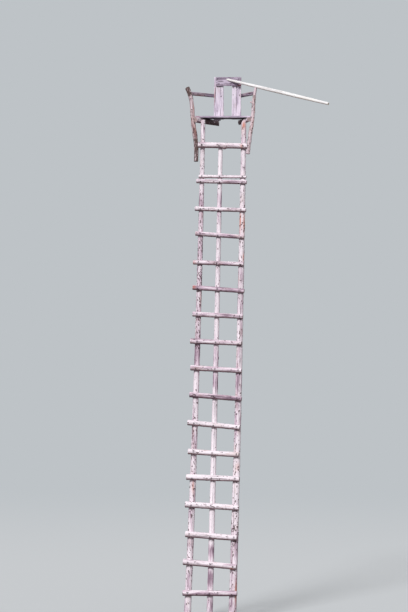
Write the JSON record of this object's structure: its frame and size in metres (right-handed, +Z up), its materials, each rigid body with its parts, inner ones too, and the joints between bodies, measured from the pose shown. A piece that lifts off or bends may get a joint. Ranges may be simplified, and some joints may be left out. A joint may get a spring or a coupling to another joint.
{
  "type": "leaning ladder stand of logs",
  "caption": "Tall ladder of weathered round logs with a middle pole, carrying a board seat, an open backrest, arm rails and a footrest, made to lean on a tree.",
  "frame": {"origin": "centre of the centre pole's foot, at ground level", "axes": "+X along the rungs to the climber's right, +Y towards the tree, +Z up"},
  "size_m": [1.8507, 1.1311, 6.638],
  "materials": {
    "weathered_log": "bare grey log",
    "weathered_board": "bare grey sawn board",
    "bark_post": "bare log with bark patches",
    "peeled_pole": "freshly peeled pole"
  },
  "bodies": {
    "root": {"left_rail": "weathered_log", "right_rail": "weathered_log", "centre_pole": "weathered_log", "rung_01": "weathered_log", "rung_02": "weathered_log", "rung_03": "weathered_log", "rung_04": "weathered_log", "rung_05": "weathered_log", "rung_06": "weathered_log", "rung_07": "weathered_log", "rung_08": "weathered_log", "rung_09": "weathered_log", "rung_10": "weathered_log", "rung_11": "weathered_log", "rung_12": "weathered_log", "rung_13": "weathered_log", "rung_14": "weathered_log", "rung_15": "weathered_log", "rung_16": "weathered_log", "rung_17": "weathered_log", "footrest_log": "weathered_log", "seat_board": "weathered_board", "left_seat_beam": "weathered_log", "right_seat_beam": "weathered_log", "left_post": "bark_post", "right_post": "bark_post", "left_arm_rail": "weathered_board", "right_arm_rail": "weathered_board", "left_back_board": "weathered_board", "right_back_board": "weathered_board", "top_back_board": "weathered_board", "pale_pole": "peeled_pole"}
  },
  "joints": []
}
